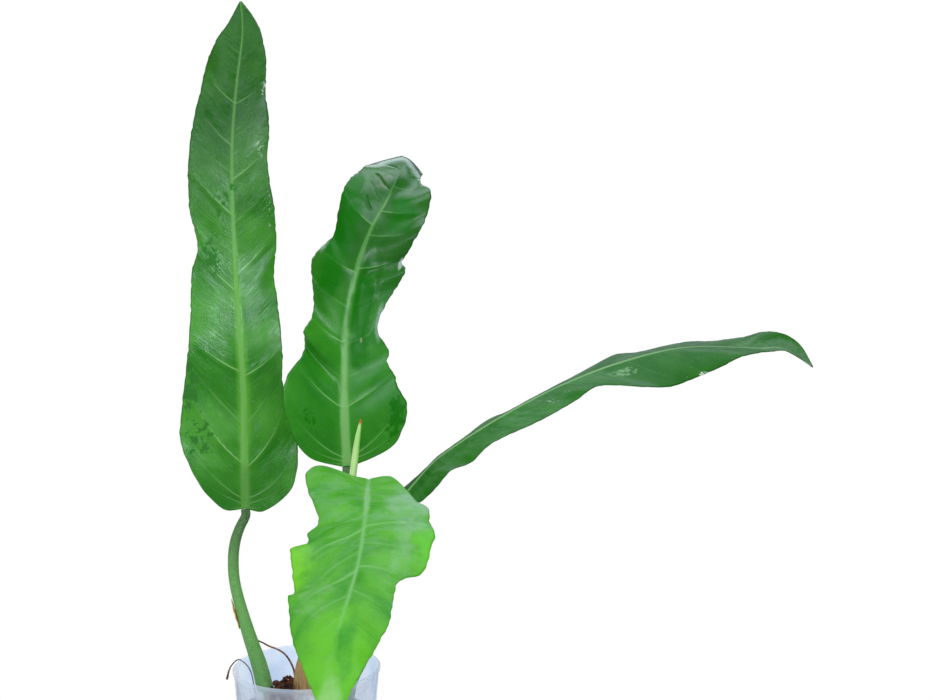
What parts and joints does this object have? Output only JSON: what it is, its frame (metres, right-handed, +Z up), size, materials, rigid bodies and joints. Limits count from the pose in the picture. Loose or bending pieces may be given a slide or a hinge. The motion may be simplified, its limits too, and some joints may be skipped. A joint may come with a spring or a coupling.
{
  "type": "potted philodendron plant",
  "caption": "Potted climbing houseplant with long strap-shaped wavy leaves on slender stalks, rising from a heap of bark mix in a thin frosted nursery pot.",
  "frame": {"origin": "middle of the pot's underside, on the ground", "axes": "+Z up; +X the way the arching leaf reaches; -Y the side that the lowest leaf hangs towards"},
  "size_m": [0.445, 0.342, 0.5532],
  "materials": {
    "frosted_plastic": "satin",
    "bark_mix": "matte",
    "woody_stem": "matte",
    "leaf_stalk": "satin",
    "mature_leaf": "satin",
    "dark_leaf": "gloss",
    "young_leaf": "satin",
    "young_sheath": "satin",
    "dried_sheath": "matte",
    "root": "matte"
  },
  "bodies": {
    "root": {"pot": "frosted_plastic", "soil": "bark_mix", "stem": "woody_stem", "petiole_tall": "leaf_stalk", "petiole_ruffled": "leaf_stalk", "petiole_arching": "leaf_stalk", "petiole_front": "leaf_stalk", "blade_tall": "mature_leaf", "blade_ruffled": "dark_leaf", "blade_arching": "dark_leaf", "blade_front": "young_leaf", "cataphyll_new": "young_sheath", "cataphyll_dried": "dried_sheath", "sheath_scrap": "dried_sheath", "aerial_root_inner": "root", "aerial_root_rim": "root"}
  },
  "joints": []
}
